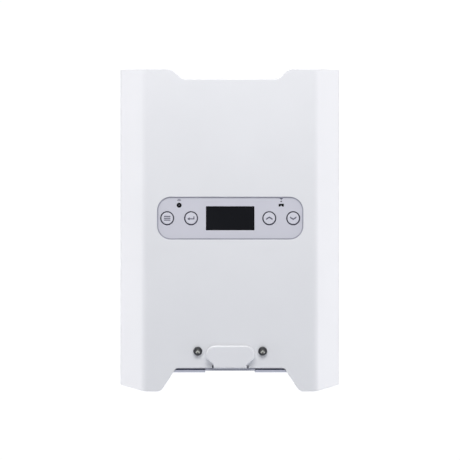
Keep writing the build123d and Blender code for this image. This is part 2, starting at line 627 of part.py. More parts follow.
# ---- battery pack --------------------------------------------------------------------------------


def cell_x(i):
    return (i - (CELLS - 1) / 2) * PITCH


def cell(i):
    """Prismatic cell: rounded can, two terminal pads with studs and an oval relief vent."""
    x = cell_x(i)
    can = block(around(x, CELL_T / 2), (PACK_FRONT, PACK_BACK), (PACK_LOW, PACK_HIGH))
    can = fillet(can.edges().filter_by(Axis.Y), 2)
    for dz in both(TERMINAL_DZ):
        can += rod_y(x, POLE_SEAT, PACK_FRONT, PACK_Z + dz, TERMINAL_R)
        can += rod_y(x, POLE_SEAT - LINK_T - M6_NUT_T - 0.8, POLE_SEAT, PACK_Z + dz, M6_R)
    vent = Pos(x, PACK_Z) * Rot(0, 0, 90) * SlotOverall(22, 11)
    return one_solid(can - front_slab(vent, PACK_FRONT - 1, PACK_FRONT + 0.5))


def cell_spacers():
    """Thin insulating sheets between neighbouring cells."""
    sheets = []
    for i in range(CELLS - 1):
        middle = (cell_x(i) + cell_x(i + 1)) / 2
        x, y, z = around(middle, CELL_GAP / 2), (PACK_FRONT + 1, PACK_BACK - 1), (PACK_LOW + 1, PACK_HIGH - 1)
        sheets.append(block(x, y, z))
    return sheets


def end_plate(side):
    """Aluminium end plate with three pressed-out windows."""
    x = (side * PACK_X, side * (PACK_X + END_PLATE_T))
    plate = block(x, (PACK_FRONT, PACK_BACK), (PACK_LOW, PACK_HIGH))
    for dz in (-52, 0, 52):
        plate -= block(x, (PACK_FRONT + 20, PACK_BACK - 20), around(PACK_Z + dz, 11))
    return one_solid(plate)


def pack_strap(dz):
    """Steel band round the whole pack."""
    x, z = PACK_X + END_PLATE_T, PACK_Z + dz
    band = block(both(x + STRAP_T), (PACK_FRONT - STRAP_T, PACK_BACK + STRAP_T), around(z, STRAP_H / 2))
    return one_solid(band - block(both(x), (PACK_FRONT, PACK_BACK), around(z, STRAP_H)))


def bus_links():
    """Seven copper links that join the cells in series, alternately above and below."""
    links = []
    for i in range(CELLS - 1):
        z = PACK_Z + (TERMINAL_DZ if i % 2 == 0 else -TERMINAL_DZ)
        middle = (cell_x(i) + cell_x(i + 1)) / 2
        link = front_slab(rounded(middle, z, PITCH + 18, LINK_H, 4), POLE_SEAT - LINK_T, POLE_SEAT)
        for x in (cell_x(i), cell_x(i + 1)):
            link -= rod_y(x, POLE_SEAT - LINK_T - 1, POLE_SEAT + 1, z, M6_R + 0.2)
        links.append(one_solid(link))
    return links


def nut(x, z, seat):
    """Thin M6 nut whose back face lies on the plane y = seat."""
    body = front_slab(hexagon(x, z, M6_AF), seat - M6_NUT_T, seat)
    return one_solid(body - rod_y(x, seat - M6_NUT_T - 1, seat + 1, z, M6_R + 0.05))


def terminal_nuts():
    seat = POLE_SEAT - LINK_T
    nuts = [nut(cell_x(i), PACK_Z + dz, seat) for i in range(CELLS) for dz in both(TERMINAL_DZ)]
    nuts += [nut(*spot, BMS_FRONT - BOSS_H - LUG_T) for spot in BOSSES]
    nuts += [nut(*NEGATIVE_STUD, BLOCK_FRONT - LUG_T), nut(*POSITIVE_STUD, BLOCK_FRONT - LUG_T)]
    return nuts + [nut(*FUSE_STUD, BLOCK_FRONT - 2 * LUG_T)]


def shield_outline(inset):
    """The pack shield's plan, moved inwards by inset: a front and two sides joined by 45 degree bevels."""
    x, front, back = PACK_X + END_PLATE_T + 2 - inset, SHIELD_FRONT + inset, SHIELD_FRONT + 16 + inset
    bevel = 3 - inset * (2 - math.sqrt(2))
    right = [(x - bevel, front), (x, front + bevel), (x, back)]
    return polygon([(-px, y) for px, y in reversed(right)] + right)


def pack_shield():
    """Clear insulating cover over the links, folded back over the end plates."""
    heights = (PACK_LOW + 2, PACK_HIGH)
    return one_solid(plan_slab(shield_outline(0), *heights) - plan_slab(shield_outline(1), *heights))


def pack_bracket(edge, away):
    """Folded shelf against one edge of the pack, with a web on the tray and a lip in front."""
    t = TRAY_SHEET
    shelf_z, front = (edge, edge + away * t), PACK_FRONT - t
    body = block(both(107), (PACK_FRONT + 6, TRAY_INNER), shelf_z)
    body += block(both(107), (TRAY_INNER - t, TRAY_INNER), (edge + away * t, edge + away * 16))
    body += block(both(80), (front, TRAY_INNER), shelf_z)
    return one_solid(body + block(both(80), (front, PACK_FRONT), (edge - away * 6, edge)))


# ---- battery management and power terminals ------------------------------------------------------


def power_transistors():
    """A row of power transistors under the heat sink."""
    count, pitch = 6, 13.5
    first = sum(HEAT_SINK_X) / 2 - pitch * (count - 1) / 2
    seat = BMS_FRONT
    return [block(around(first + i * pitch, 5), (seat - 4.6, seat), (118, 127)) for i in range(count)]


def heat_sink():
    seat, fins = BMS_FRONT - 4.6, 10
    body = block(HEAT_SINK_X, (seat - 4, seat), HEAT_SINK_Z)
    pitch = (HEAT_SINK_X[1] - HEAT_SINK_X[0] - 2) / (fins - 1)
    for i in range(fins):
        x = HEAT_SINK_X[0] + 1 + i * pitch
        body += block(around(x, 1), (seat - 18, seat - 3), HEAT_SINK_Z)
    return one_solid(body)


def terminal_block():
    """Moulded base on the tray's back for the outgoing terminals and the strip fuse."""
    body = block((48, 106), (BLOCK_FRONT, TRAY_INNER), (50, 68))
    body += block((84, 106), (BLOCK_FRONT, TRAY_INNER), (60, 109))
    for x, z in (NEGATIVE_STUD, POSITIVE_STUD, FUSE_STUD):
        body -= rod_y(x, BLOCK_FRONT - 1, BLOCK_FRONT + 10, z, M6_R)
    return one_solid(body)


def power_studs():
    """Three studs in the terminal block and two on bosses soldered to the board."""
    studs = [
        rod_y(x, BLOCK_FRONT - 12, BLOCK_FRONT + 9.8, z, M6_R - 0.05)
        for x, z in (NEGATIVE_STUD, POSITIVE_STUD, FUSE_STUD)
    ]
    for x, z in BOSSES:
        boss = rod_y(x, BMS_FRONT - BOSS_H, BMS_FRONT, z, BOSS_R)
        studs.append(one_solid(boss + rod_y(x, BMS_FRONT - BOSS_H - 10, BMS_FRONT, z, M6_R - 0.05)))
    return studs


def strip_fuse():
    """Bolt-down fuse with a ceramic body between its two tongues."""
    x, low, high = FUSE_STUD[0], POSITIVE_STUD[1] - 8, FUSE_STUD[1] + 8
    body = block(around(x, 8), (BLOCK_FRONT - LUG_T, BLOCK_FRONT), (low, high))
    middle = (low + high) / 2
    body += block(around(x, 9.5), (BLOCK_FRONT - 8, BLOCK_FRONT), around(middle, 11))
    for spot in (POSITIVE_STUD, FUSE_STUD):
        body -= rod_y(spot[0], BLOCK_FRONT - 3, BLOCK_FRONT + 1, spot[1], M6_R + 0.1)
    return one_solid(body)


def lug(x, z, seat, away):
    """Ring lug against the plane y = seat, with its barrel pointing up (1) or down (-1)."""
    ring = rod_y(x, seat - LUG_T, seat, z, 7)
    neck = block(around(x, 4.5), (seat - LUG_T, seat), (z, z + away * 12))
    barrel = rod_z(x, seat - LUG_T / 2, z + away * 11, z + away * 23, BARREL_R)
    return one_solid(ring + neck + barrel - rod_y(x, seat - 3, seat + 1, z, M6_R + 0.1))


POLES = ((cell_x(CELLS - 1), POLE_Z), (cell_x(0), POLE_Z))


def cable_lugs():
    lugs = [lug(*pole, POLE_SEAT, -1) for pole in POLES]
    lugs += [lug(*spot, BOSS_SEAT, 1) for spot in BOSSES]
    return lugs + [lug(*FUSE_STUD, BLOCK_FRONT - LUG_T, 1), lug(*NEGATIVE_STUD, BLOCK_FRONT, 1)]


def barrel_end(x, z, seat, away):
    return (x, seat - LUG_T / 2, z + away * 23)


def cable_between(start, end, level):
    """A cable that leaves both barrels along z and crosses over at one height."""
    return cable([start, (*start[:2], level), (*end[:2], level), end])


def power_cables():
    """Pack to fuse, pack to board, and board to the negative stud."""
    positive, negative = [barrel_end(*pole, POLE_SEAT, -1) for pole in POLES]
    pack_side, load_side = [barrel_end(*spot, BOSS_SEAT, 1) for spot in BOSSES]
    fuse_end = barrel_end(*FUSE_STUD, BLOCK_FRONT - LUG_T, 1)
    negative_end = barrel_end(*NEGATIVE_STUD, BLOCK_FRONT, 1)
    return [
        cable_between(positive, fuse_end, 147),
        cable_between(negative, pack_side, 147),
        cable_between(load_side, negative_end, 118),
    ]


def signal_cables():
    """Two flat cables with their plugs: panel to management board, and port to management board."""
    plug_x = around(SIGNAL_X, RIBBON_W / 2 + 1)
    port_plug_x = around(PORT_SIGNAL_X, RIBBON_W / 2 + 1)
    panel_y = (CONTROL_BOARD + BOARD_T, CONTROL_BOARD + BOARD_T + 4)
    port_y = (JACK_BACK + BOARD_T, JACK_BACK + BOARD_T + 5)
    board_y = (BMS_FRONT - 8, BMS_FRONT)
    plugs = [
        block(plug_x, panel_y, (184, 190)),
        block(plug_x, board_y, (139, 145)),
        block(port_plug_x, port_y, (50, 56)),
        block(port_plug_x, board_y, (71, 77)),
    ]
    drop, rise, level = sum(panel_y) / 2, sum(board_y) / 2, 153
    upper = ribbon(SIGNAL_X, [(drop, 184), (drop, level), (rise, level), (rise, 145)])
    elbow = -52
    lower = ribbon(PORT_SIGNAL_X, [(port_y[1], 53), (elbow, 53), (elbow, 74), (board_y[0], 74)])
    return plugs + [upper, lower]


# ---- underside fittings --------------------------------------------------------------------------


def hex_post(x, low, high, across_flats):
    return Pos(0, FITTING_Y, 0) * plan_slab(hexagon(x, 0, across_flats), low, high)


def gland_body(x):
    """Lower half of a cable gland: a hexagon against the floor and a threaded shank through it."""
    body = hex_post(x, FLOOR_LOW - 5, FLOOR_LOW, GLAND_AF)
    body += rod_z(x, FITTING_Y, FLOOR_LOW - 1, FLOOR_TOP + 6.5, GLAND_R)
    body += rod_z(x, FITTING_Y, FLOOR_LOW - 13, FLOOR_LOW - 4, GLAND_R - 0.4)
    body -= rod_z(x, FITTING_Y, FLOOR_LOW - 14, FLOOR_TOP + 8, GLAND_BORE_R)
    return one_solid(body - rod_z(x, FITTING_Y, FLOOR_LOW - 14, FLOOR_LOW - 4.5, GLAND_BORE_R + 1.6))


def gland_nut(x):
    body = hex_post(x, FLOOR_TOP, FLOOR_TOP + 5, GLAND_AF)
    return one_solid(body - rod_z(x, FITTING_Y, FLOOR_TOP - 1, FLOOR_TOP + 6, GLAND_R + 0.05))


def gland_dome(x):
    """Clamping cap: hexagon above, rounded nose below."""
    low, high = FLOOR_LOW - 18, FLOOR_LOW - 5.2
    nose = rod_z(x, FITTING_Y, low, low + 6, GLAND_AF / 2 - 0.3)
    nose = fillet(nose.edges().sort_by(Axis.Z)[0], 3.0)
    body = hex_post(x, low + 5, high, GLAND_AF) + nose
    body -= rod_z(x, FITTING_Y, low + 3, high + 1, GLAND_R - 0.3)
    return one_solid(body - rod_z(x, FITTING_Y, low - 1, high, GLAND_SEAL_R + 1.2))


def gland_seal(x):
    ring = rod_z(x, FITTING_Y, GLAND_SEAL_LOW, GLAND_SEAL_LOW + GLAND_SEAL_H, GLAND_BORE_R + 1.5)
    return one_solid(ring - rod_z(x, FITTING_Y, 0, FLOOR_LOW, GLAND_SEAL_R))


def earth_stud():
    """Stepped stud: an M6 free end, and an M5 shank that two nuts clamp to the floor."""
    free_top = FLOOR_LOW - STUD_NUT_T - STUD_SHOULDER
    stud = rod_z(EARTH_X, FITTING_Y, free_top - STUD_FREE, free_top, M6_R)
    stud += rod_z(EARTH_X, FITTING_Y, free_top - 1, FLOOR_TOP + STUD_NUT_T + 2, STUD_SHANK_R)
    solids = [one_solid(stud)]
    for low, high in ((FLOOR_LOW - STUD_NUT_T, FLOOR_LOW), (FLOOR_TOP, FLOOR_TOP + STUD_NUT_T)):
        clamp = hex_post(EARTH_X, low, high, M6_AF)
        clamp -= rod_z(EARTH_X, FITTING_Y, low - 1, high + 1, STUD_SHANK_R + 0.05)
        solids.append(one_solid(clamp))
    return solids


# ---- the whole assembly --------------------------------------------------------------------------


def pairs(make, positions):
    return [make(position) for position in positions]


save("front_cover", front_cover())
save("rear_tray", rear_tray())
save("cover_seals", *cover_seals())
save("cover_standoffs", *pairs(cover_standoff, both(FIXING_X)))
save("cover_screws", *pairs(cover_screw, both(FIXING_X)))

save("wall_rail", wall_rail())
save("hanger_rail", hanger_rail())
save("hanger_rivets", *pairs(hanger_rivet, RIVET_X))
save("rear_bumpers", *pairs(rear_bumper, both(BUMPER_X)))

save("panel_seal", panel_seal())
save("control_panel", control_panel())
save("button_mats", *pairs(button_mat, (-1, 1)))
for button_name, button_x in BUTTONS.items():
    save(button_name, button(button_x))
save("key_switches", *pairs(key_switch, BUTTONS.values()))
save("display_window", display_window())
save("lcd_module", lcd_module())
control_outline = rounded(0, PANEL_Z, CONTROL_W, CONTROL_H, 2)
save("control_board", drilled_board(control_outline, CONTROL_BOARD, CONTROL_FIXINGS))
save("lamp_bezels", *lamp_bezels())
save("light_pipes", *[light_pipe(*lamp) for lamp in LIGHTS])
save("lamp_diodes", *[lamp_diode(*lamp) for lamp in LIGHTS])

save("port_flap", port_flap())
save("hinge_bracket", hinge_bracket())
save("hinge_pin", hinge_pin())
save("data_socket", data_socket())
save("socket_contacts", *socket_contacts())
port_board_outline = rounded(0, PORT_Z + 3, 48, 30, 2)
save("port_board", drilled_board(port_board_outline, JACK_BACK, PORT_BOARD_FIXINGS))

for number in range(CELLS):
    save(f"cell_{number + 1}", cell(number))
save("cell_spacers", *cell_spacers())
save("end_plates", *pairs(end_plate, (-1, 1)))
save("pack_straps", *pairs(pack_strap, both(30)))
save("bus_links", *bus_links())
save("terminal_nuts", *terminal_nuts())
save("pack_shield", pack_shield())
save("pack_brackets", pack_bracket(PACK_LOW, -1), pack_bracket(PACK_HIGH, 1))

bms_outline = rounded(*BMS_MIDDLE, BMS_X[1] - BMS_X[0], BMS_Z[1] - BMS_Z[0], 2)
save("bms_board", drilled_board(bms_outline, BMS_FRONT, BMS_FIXINGS))
save("board_spacers", *board_spacers())
save("board_screws", *board_screws())
save("power_transistors", *power_transistors())
save("heat_sink", heat_sink())
save("terminal_block", terminal_block())
save("power_studs", *power_studs())
save("strip_fuse", strip_fuse())
save("cable_lugs", *cable_lugs())
save("power_cables", *power_cables())
save("signal_cables", *signal_cables())

save("gland_bodies", *pairs(gland_body, GLAND_X))
save("gland_nuts", *pairs(gland_nut, GLAND_X))
save("gland_domes", *pairs(gland_dome, GLAND_X))
save("gland_seals", *pairs(gland_seal, GLAND_X))
save("earth_stud", *earth_stud())
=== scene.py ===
"""Looks of the wall battery unit: finishes, printed marks, studio light and camera."""

import functools
import json
import math

import bmesh
import bpy
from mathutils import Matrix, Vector


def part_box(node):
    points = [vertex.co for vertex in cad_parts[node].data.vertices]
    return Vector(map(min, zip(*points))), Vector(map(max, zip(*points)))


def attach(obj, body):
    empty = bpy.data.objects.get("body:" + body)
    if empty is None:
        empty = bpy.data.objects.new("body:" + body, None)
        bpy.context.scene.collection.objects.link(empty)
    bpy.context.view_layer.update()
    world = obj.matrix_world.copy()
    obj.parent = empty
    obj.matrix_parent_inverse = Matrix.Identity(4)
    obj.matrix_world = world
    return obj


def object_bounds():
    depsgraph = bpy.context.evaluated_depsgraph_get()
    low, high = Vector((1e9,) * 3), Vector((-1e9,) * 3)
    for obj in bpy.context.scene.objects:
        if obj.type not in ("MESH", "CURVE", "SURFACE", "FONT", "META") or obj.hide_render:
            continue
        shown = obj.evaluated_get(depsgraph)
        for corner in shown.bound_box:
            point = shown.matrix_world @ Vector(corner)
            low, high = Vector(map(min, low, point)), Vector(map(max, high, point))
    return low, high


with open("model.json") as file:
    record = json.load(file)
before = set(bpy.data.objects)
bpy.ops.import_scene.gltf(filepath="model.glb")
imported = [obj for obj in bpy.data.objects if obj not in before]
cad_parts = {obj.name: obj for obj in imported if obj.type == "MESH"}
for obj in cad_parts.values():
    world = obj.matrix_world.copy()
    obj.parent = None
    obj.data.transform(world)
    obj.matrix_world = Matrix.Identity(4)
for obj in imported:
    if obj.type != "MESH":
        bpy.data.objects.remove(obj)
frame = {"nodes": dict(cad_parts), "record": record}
cad_low, cad_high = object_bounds()

MM = 0.001

# ---- camera and studio, in metres and watts ----------------------------------------------------

VIEW_DISTANCE = 5.0  # from the lens to the case's front face
PICTURE_WIDTH = 0.5152  # what the picture takes in at the front face
SENSOR = 36.0
VIEW_TURN = math.radians(1.0)  # how far the camera stands to the left
AIM_LIFT = 0.35 * MM  # the picture's centre above the case's middle
AIM_SIDE = -0.25 * MM  # and to the side of it
CLIP = 0.1, 60.0  # nearest and farthest that the camera sees

FLOOR_DROP = 1.0  # floor below the feet
FLOOR_RADIUS = 3.2
FLOOR_GLOW = 0.3, 1.0  # what the camera sees added to the floor, near the object and at the rim
FRONT_GLOW, BACK_GLOW = 0.165, 0.48  # the sky's strength on the object
BACKDROP = 1.05  # and its strength as the camera sees it
SKY_TURN = -0.8, 0.2  # from front glow to back glow, as the y of a direction
SKY_WHITE = 0.98, 0.985, 1.0

AIM_Y = -0.1  # every light points at this depth, at middle height
KEY_PLACE, KEY_POWER, KEY_COLOUR = (0.0, -0.9, 0.95), 15.5, (1.0, 0.993, 0.985)
KEY_RISE = 0.1  # the key points this much higher than the others
FILL_PLACE, FILL_POWER, FILL_COLOUR = (0.1, -1.1, -0.8), 2.75, (0.86, 0.92, 1.0)
STRIP_SIZE = 1.2, 0.5  # width and height of the key and of the fill
PANEL_PLACE, PANEL_POWER, PANEL_COLOUR = (1.2, -0.04, -0.35), 7.7, (1.0, 0.985, 0.99)
PANEL_SIZE = 0.8, 1.2

# ---- details of finishes and marks -------------------------------------------------------------

LCD_MARGIN = 4.7 * MM  # from the display module's frame to the window's printed border
WORN_AND_LIT_EDGE = 2.3 * MM, 2.9 * MM  # the screws' worn middle, lighter from wear and from painted light, fades out between these radii
PAINTED_HIGHLIGHT_EDGE = 0.9 * MM, 1.3 * MM  # and the painted highlight in it, a bright chevron, between these heights over its line
PAINTED_HIGHLIGHT_PEAK = 0.35 * MM  # top of the painted highlight's chevron line above the screw's centre
WORN_WAVER = 0.4 * MM  # how much the grain shifts both edges
PROUD = 0.06 * MM  # thickness of a print over its face

# In millimetres and degrees.
ARCH_RADII, ARCH_STROKE = (2.15, 1.05), 0.6  # the left lamp's mark
ARCH_START, ARCH_END, ARCH_STEPS = 8, 172, 16
ARCH_LIFT = 2.0  # its centre above the lamp
POINTER_WIDTH, POINTER_HEIGHT = 4.4, 1.8  # the right lamp's mark
POINTER_LIFT = 1.1  # its tip above the small dot


def tone(red, green, blue):
    """Linear colour of an sRGB tone given in 0 to 255."""
    shares = [value / 255 for value in (red, green, blue)]
    return tuple(s / 12.92 if s <= 0.04045 else ((s + 0.055) / 1.055) ** 2.4 for s in shares)


def scaled(colour, factor):
    return tuple(min(1.0, value * factor) for value in colour)


def feed(tree, socket, value):
    """Gives an input socket a number or a colour, or links it to the output of another node."""
    if isinstance(value, bpy.types.NodeSocket):
        tree.links.new(value, socket)
    elif isinstance(value, tuple):
        socket.default_value = (*value, 1.0)
    else:
        socket.default_value = value


def map_range(tree, value, low, high, start=0.0, end=1.0):
    """value between start and end, spread from low to high."""
    ranged = tree.nodes.new("ShaderNodeMapRange")
    given = (("Value", value), ("From Min", start), ("From Max", end), ("To Min", low), ("To Max", high))
    for socket, number in given:
        feed(tree, ranged.inputs[socket], number)
    return ranged.outputs["Result"]


# ---- materials ---------------------------------------------------------------------------------


class Finish:
    """A material with a Principled shader, and the texture nodes that drive it."""

    def __init__(self, metallic=0.0, specular=0.5):
        self.material = bpy.data.materials.new("finish")
        self.material.use_nodes = True
        self.tree = self.material.node_tree
        self.shader = self.tree.nodes["Principled BSDF"]
        self.put("Metallic", metallic)
        self.put("Specular IOR Level", specular)
        self.place = self.node("ShaderNodeTexCoord").outputs["Object"]
        self.normal = None

    def node(self, kind, **settings):
        made = self.tree.nodes.new(kind)
        for key, value in settings.items():
            setattr(made, key, value)
        return made

    def put(self, socket, value):
        feed(self.tree, self.shader.inputs[socket], value)

    def link(self, output, target):
        self.tree.links.new(output, target)

    def stretched(self, x, y, z):
        """Coordinates scaled by axis, for grain that runs one way."""
        mapping = self.node("ShaderNodeMapping")
        mapping.inputs["Scale"].default_value = (x, y, z)
        self.link(self.place, mapping.inputs["Vector"])
        return mapping.outputs["Vector"]

    def noise(self, per_metre, detail=2.0, place=None):
        texture = self.node("ShaderNodeTexNoise")
        texture.inputs["Scale"].default_value = per_metre
        texture.inputs["Detail"].default_value = detail
        self.link(place or self.place, texture.inputs["Vector"])
        return texture.outputs["Fac"]

    def cells(self, per_metre, output="Distance", **settings):
        texture = self.node("ShaderNodeTexVoronoi", **settings)
        texture.inputs["Scale"].default_value = per_metre
        self.link(self.place, texture.inputs["Vector"])
        return texture.outputs[output]

    def spread(self, value, low, high, start=0.3, end=0.7):
        """value between start and end, spread from low to high."""
        return map_range(self.tree, value, low, high, start, end)

    def blend(self, share, first, second):
        """A colour between two others. Each is a colour or a socket."""
        mix = self.node("ShaderNodeMix", data_type="RGBA")
        first_colour, second_colour = [socket for socket in mix.inputs if socket.type == "RGBA"]
        feed(self.tree, mix.inputs["Factor"], share)
        feed(self.tree, first_colour, first)
        feed(self.tree, second_colour, second)
        return next(socket for socket in mix.outputs if socket.type == "RGBA")

    def calculate(self, operation, *values):
        """The result of a math node whose inputs are numbers or sockets."""
        step = self.node("ShaderNodeMath", operation=operation)
        for socket, value in zip(step.inputs, values):
            feed(self.tree, socket, value)
        return step.outputs["Value"]

    def sum(self, first, second):
        return self.calculate("ADD", first, second)

    def magnitude(self, value):
        return self.calculate("ABSOLUTE", value)

    def axes(self):
        parts = self.node("ShaderNodeSeparateXYZ")
        self.link(self.place, parts.inputs["Vector"])
        return parts.outputs

    def outside(self, x_low, x_high, z_low, z_high):
        """1 outside an upright rectangle, 0 in it."""
        x, z = self.axes()["X"], self.axes()["Z"]
        misses = [self.calculate("LESS_THAN", x, x_low), self.calculate("GREATER_THAN", x, x_high)]
        misses += [self.calculate("LESS_THAN", z, z_low), self.calculate("GREATER_THAN", z, z_high)]
        return functools.reduce(lambda first, second: self.calculate("MAXIMUM", first, second), misses)

    def mirrored_offset(self, spot):
        """Signed distances in x and z from a spot or from its mirror image in x."""
        across = self.calculate("SUBTRACT", self.magnitude(self.axes()["X"]), spot[0])
        up = self.calculate("SUBTRACT", self.axes()["Z"], spot[1])
        return across, up

    def length(self, first, second):
        squares = [self.calculate("POWER", value, 2.0) for value in (first, second)]
        return self.calculate("SQRT", self.sum(*squares))

    def colour(self, socket):
        self.put("Base Color", socket)

    def rough(self, value, low, high):
        self.put("Roughness", self.spread(value, low, high))

    def relief(self, value, depth, strength=1.0):
        """Adds a bump of that depth in metres on top of the bumps that are there already."""
        bump = self.node("ShaderNodeBump")
        bump.inputs["Strength"].default_value = strength
        bump.inputs["Distance"].default_value = depth
        self.link(value, bump.inputs["Height"])
        if self.normal is not None:
            self.link(self.normal, bump.inputs["Normal"])
        self.normal = bump.outputs["Normal"]
        self.put("Normal", self.normal)


def powder_coat(colour, roughness=0.42, mottle=0.012):
    """Sprayed and baked paint: faint mottling, a fine orange peel and a finer tooth on it."""
    paint = Finish(specular=0.45)
    share = paint.spread(paint.noise(14, detail=3.0), 0, 1)
    paint.colour(paint.blend(share, scaled(colour, 1 - mottle), scaled(colour, 1 + mottle)))
    paint.rough(paint.noise(160, detail=3.0), roughness - 0.05, roughness + 0.06)
    paint.relief(paint.noise(900, detail=1.0), 9e-6)
    paint.relief(paint.noise(3200, detail=2.0), 3e-6)
    return paint.material


def moulding(colour, roughness=0.4, grain=2600, depth=4e-6, specular=0.5, mottle=0.02):
    """Moulded plastic: even colour with slight flow marks and a fine eroded grain."""
    plastic = Finish(specular=specular)
    flow = plastic.noise(22, detail=2.0, place=plastic.stretched(1, 1, 0.35))
    share = plastic.spread(flow, 0, 1)
    plastic.colour(plastic.blend(share, scaled(colour, 1 - mottle), scaled(colour, 1 + mottle)))
    plastic.rough(plastic.noise(420, detail=3.0), roughness - 0.05, roughness + 0.05)
    plastic.relief(plastic.noise(grain, detail=2.0), depth)
    return plastic.material


def rubber(colour, roughness=0.7, dust=0.5):
    """Moulded rubber: a dull skin with a pale bloom in patches and a matt grain."""
    skin = Finish(specular=0.3)
    bloom = skin.spread(skin.noise(90, detail=5.0), 0, dust, 0.45, 0.75)
    skin.colour(skin.blend(bloom, colour, scaled(colour, 2.2)))
    skin.rough(skin.noise(300, detail=3.0), roughness - 0.08, roughness + 0.1)
    skin.relief(skin.noise(1800, detail=3.0), 1.2e-5)
    return skin.material


def metal(colour, roughness=0.3, along=(1, 1, 1), grain=900, depth=3e-6, tarnish=0.12):
    """Plated, turned or brushed metal with soft tarnish. A small scale in along draws its grain out."""
    skin = Finish(metallic=1.0)
    lines = skin.noise(grain, detail=3.0, place=skin.stretched(*along))
    patches = skin.spread(skin.noise(45, detail=4.0), 0, 1, 0.35, 0.75)
    skin.colour(skin.blend(patches, colour, scaled(colour, 1 - tarnish)))
    skin.rough(lines, roughness - 0.07, roughness + 0.1)
    skin.relief(lines, depth)
    return skin.material


def galvanised(colour, roughness=0.38):
    """Hot-dip zinc: angular spangles that differ a little in shade and gloss."""
    zinc = Finish(metallic=0.9)
    spangle = zinc.cells(130, "Color")
    grey = zinc.node("ShaderNodeRGBToBW")
    zinc.link(spangle, grey.inputs["Color"])
    zinc.colour(zinc.blend(grey.outputs["Val"], scaled(colour, 0.86), scaled(colour, 1.08)))
    zinc.rough(grey.outputs["Val"], roughness - 0.08, roughness + 0.12)
    zinc.relief(zinc.noise(700, detail=3.0), 5e-6)
    return zinc.material


def board_green():
    """Solder mask over a web of copper tracks, with plated dots."""
    mask = Finish()
    tracks = mask.cells(420, feature="DISTANCE_TO_EDGE")
    track = mask.spread(tracks, 1, 0, 0.05, 0.12)
    green = mask.blend(track, tone(18, 84, 52), tone(38, 118, 74))
    dots = mask.cells(260, feature="F1", distance="EUCLIDEAN")
    mask.colour(mask.blend(mask.spread(dots, 1, 0, 0.10, 0.13), green, tone(206, 190, 140)))
    mask.rough(mask.noise(200, detail=2.0), 0.28, 0.42)
    mask.relief(track, 2e-5)
    return mask.material


def smoked_window():
    """Dark window with a blacker border printed behind it, and a coated surface that reflects little."""
    pane = Finish(specular=0.16)
    haze = pane.spread(pane.noise(30, detail=2.0), 0, 1)
    smoke = pane.blend(haze, tone(22, 23, 27), tone(26, 27, 31))
    low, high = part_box("lcd_module")
    border = pane.outside(low.x + LCD_MARGIN, high.x - LCD_MARGIN, low.z + LCD_MARGIN, high.z - LCD_MARGIN)
    pane.colour(pane.blend(border, smoke, tone(8, 8, 13)))
    pane.rough(pane.noise(60, detail=4.0), 0.09, 0.16)
    pane.relief(pane.noise(2500, detail=1.0), 4e-7)
    return pane.material


def worn_screw_with_painted_highlight(finish, bare_and_highlight):
    """Blackened screws, worn round the cross recess by the driver. The colour there is also lightened as
    painted light and carries a painted highlight: a bright chevron on the recess's lower walls.
    """
    skin = Finish(metallic=0.2)
    low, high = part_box("cover_screws")
    radius = (high.z - low.z) / 2
    across, up = skin.mirrored_offset((high.x - radius, (low.z + high.z) / 2))
    grain = skin.noise(1500, detail=3.0)
    waver = skin.spread(grain, -WORN_WAVER, WORN_WAVER)
    # worn middle: real wear, made lighter than the finish as painted light
    worn_and_lit = skin.spread(skin.sum(skin.length(across, up), waver), 1, 0, *WORN_AND_LIT_EDGE)
    # painted highlight: a bright chevron where light from above falls on the recess's lower walls
    from_chevron = skin.magnitude(skin.sum(skin.sum(up, skin.magnitude(across)), -PAINTED_HIGHLIGHT_PEAK))
    painted_highlight = skin.spread(skin.sum(from_chevron, waver), 1, 0, *PAINTED_HIGHLIGHT_EDGE)
    skin.colour(skin.blend(worn_and_lit, finish, skin.blend(painted_highlight, scaled(bare_and_highlight, 0.16), bare_and_highlight)))
    skin.rough(grain, 0.34, 0.5)
    skin.relief(grain, 1.5e-5)
    return skin.material


def film_blue():
    """Blue shrink film over a can, slightly wrinkled along it."""
    film = Finish(specular=0.55)
    wrinkle = film.noise(60, detail=4.0, place=film.stretched(1, 1, 0.12))
    film.colour(film.blend(film.spread(wrinkle, 0, 1), tone(28, 78, 150), tone(40, 100, 176)))
    film.rough(film.noise(140, detail=3.0), 0.2, 0.36)
    film.relief(wrinkle, 6e-5)
    return film.material


def clear_sheet():
    """Thin clear polycarbonate with a fine haze."""
    sheet = Finish()
    haze = sheet.noise(50, detail=3.0)
    sheet.colour(sheet.blend(sheet.spread(haze, 0, 1), tone(214, 224, 232), tone(232, 240, 246)))
    sheet.rough(sheet.noise(120, detail=3.0), 0.05, 0.14)
    sheet.relief(sheet.noise(400, detail=2.0), 2e-6)
    sheet.put("Alpha", 0.4)
    return sheet.material


def milky_pipe():
    """Unlit light pipe: milky plastic that lets some light in."""
    pipe = Finish()
    cloud = pipe.spread(pipe.noise(900, detail=2.0), 0, 1)
    pipe.colour(pipe.blend(cloud, tone(70, 70, 80), tone(92, 92, 102)))
    pipe.rough(pipe.noise(1500, detail=2.0), 0.24, 0.38)
    pipe.relief(pipe.noise(4000, detail=2.0), 2e-6)
    pipe.put("Subsurface Weight", 0.2)
    pipe.put("Subsurface Scale", 0.002)
    return pipe.material


def named(name, material):
    material.name = name
    return material


